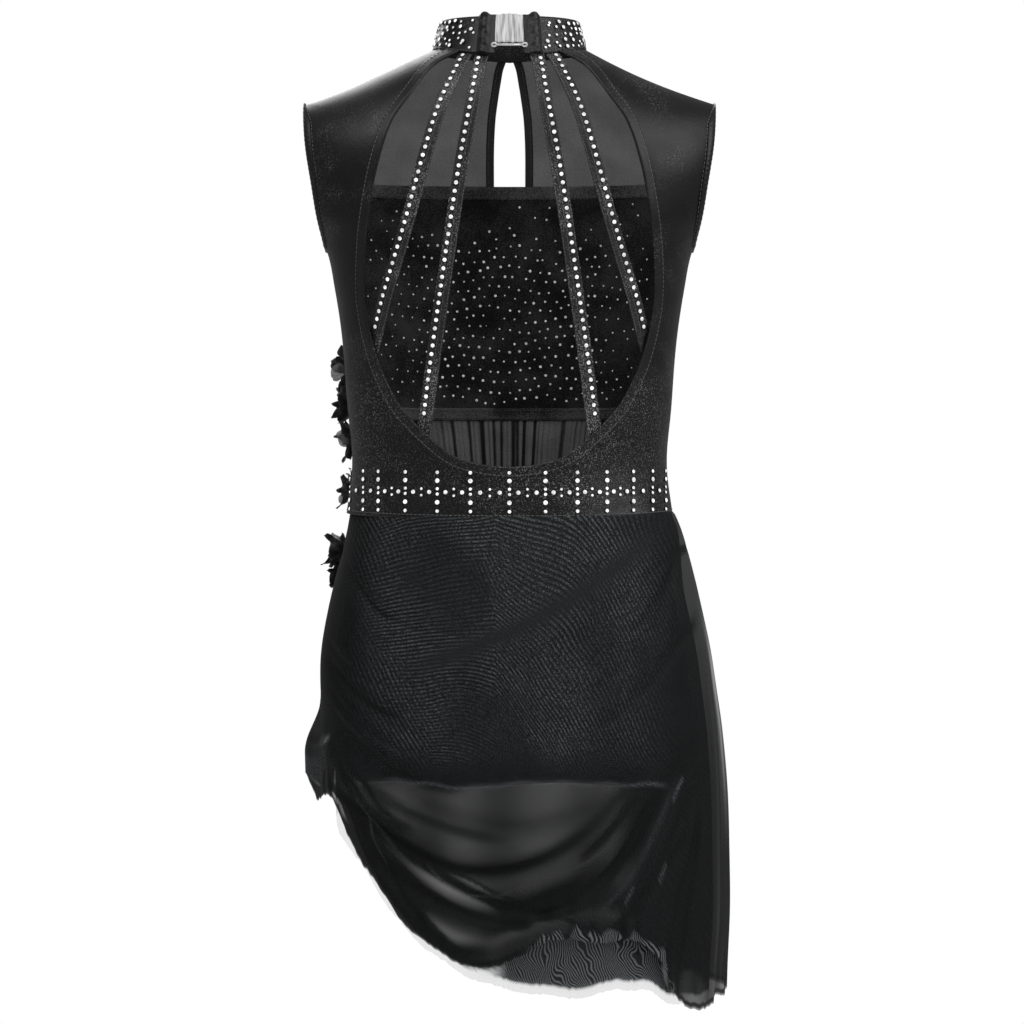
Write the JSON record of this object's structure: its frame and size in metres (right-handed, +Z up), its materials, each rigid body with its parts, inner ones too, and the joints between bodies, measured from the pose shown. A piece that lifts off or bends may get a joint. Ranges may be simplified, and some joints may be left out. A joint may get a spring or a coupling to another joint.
{
  "type": "figure skating dress",
  "caption": "Sleeveless figure skating dress with a stand collar, an oval strapped open back, a sheer keyhole yoke and a draped tulle skirt that is longer on one side.",
  "frame": {"origin": "middle of the neck at the height of the shoulders, which hold the dress up", "axes": "+Z up, +Y towards the wearer's front, +X towards the wearer's right"},
  "size_m": [0.3078, 0.2118, 0.7023],
  "materials": {
    "knit": "black foil-coated stretch knit with a fine crackle",
    "velvet": "black stretch velvet",
    "sheer": "sheer black mesh",
    "tulle": "black tulle",
    "lining": "matt black knit",
    "elastic": "pale gathered elastic",
    "metal": "bright nickel",
    "petal": "black organza petals"
  },
  "bodies": {
    "root": {"back_panel": "knit", "front_panel": "knit", "armhole_binding_left": "knit", "armhole_binding_right": "knit", "keyhole_binding_left": "knit", "keyhole_binding_right": "knit", "strap_outer_left": "knit", "strap_inner_left": "knit", "strap_inner_right": "knit", "strap_outer_right": "knit", "collar": "knit", "neck_casing_left": "knit", "neck_casing_right": "knit", "bust_panel": "velvet", "bust_top_band": "velvet", "bust_bottom_band": "velvet", "yoke_left": "sheer", "yoke_right": "sheer", "midriff": "sheer", "skirt_outer_back": "tulle", "skirt_outer_front": "tulle", "skirt_inner_back": "tulle", "skirt_inner_front": "tulle", "underskirt_back": "lining", "underskirt_front": "lining", "neck_elastic": "elastic", "neck_bar": "metal", "flower_1": "petal", "flower_2": "petal", "flower_3": "petal", "flower_4": "petal", "flower_5": "petal", "flower_6": "petal"}
  },
  "joints": []
}
